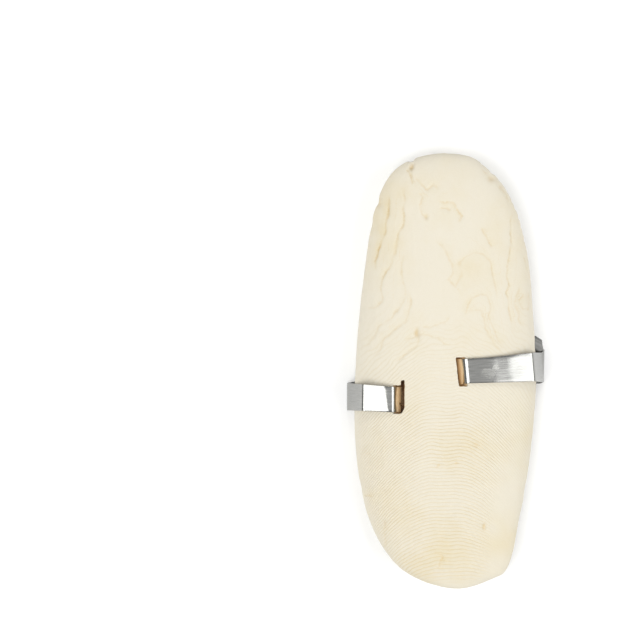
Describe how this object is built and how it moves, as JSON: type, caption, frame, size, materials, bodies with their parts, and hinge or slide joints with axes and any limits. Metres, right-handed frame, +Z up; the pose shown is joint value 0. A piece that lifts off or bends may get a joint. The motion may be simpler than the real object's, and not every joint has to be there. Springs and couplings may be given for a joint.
{
  "type": "cuttlebone with clip holder",
  "caption": "Flat oval cuttlebone with a ridged chalky face, lying in a bent sheet-metal clip whose claws grip the face from both sides.",
  "frame": {"origin": "middle of the bounding box in X and Y, on the surface that the object lies on", "axes": "+Z up, out of the ridged chalky face; +Y along the bone to its broad smooth front end, which is the upper end in the picture; +X across the bone, to the right in the picture"},
  "size_m": [0.0638, 0.14, 0.0164],
  "materials": {
    "chalky_bone": "matte",
    "tinned_sheet": "satin"
  },
  "bodies": {
    "root": {"cuttlebone": "chalky_bone", "holder": "tinned_sheet"}
  },
  "joints": []
}
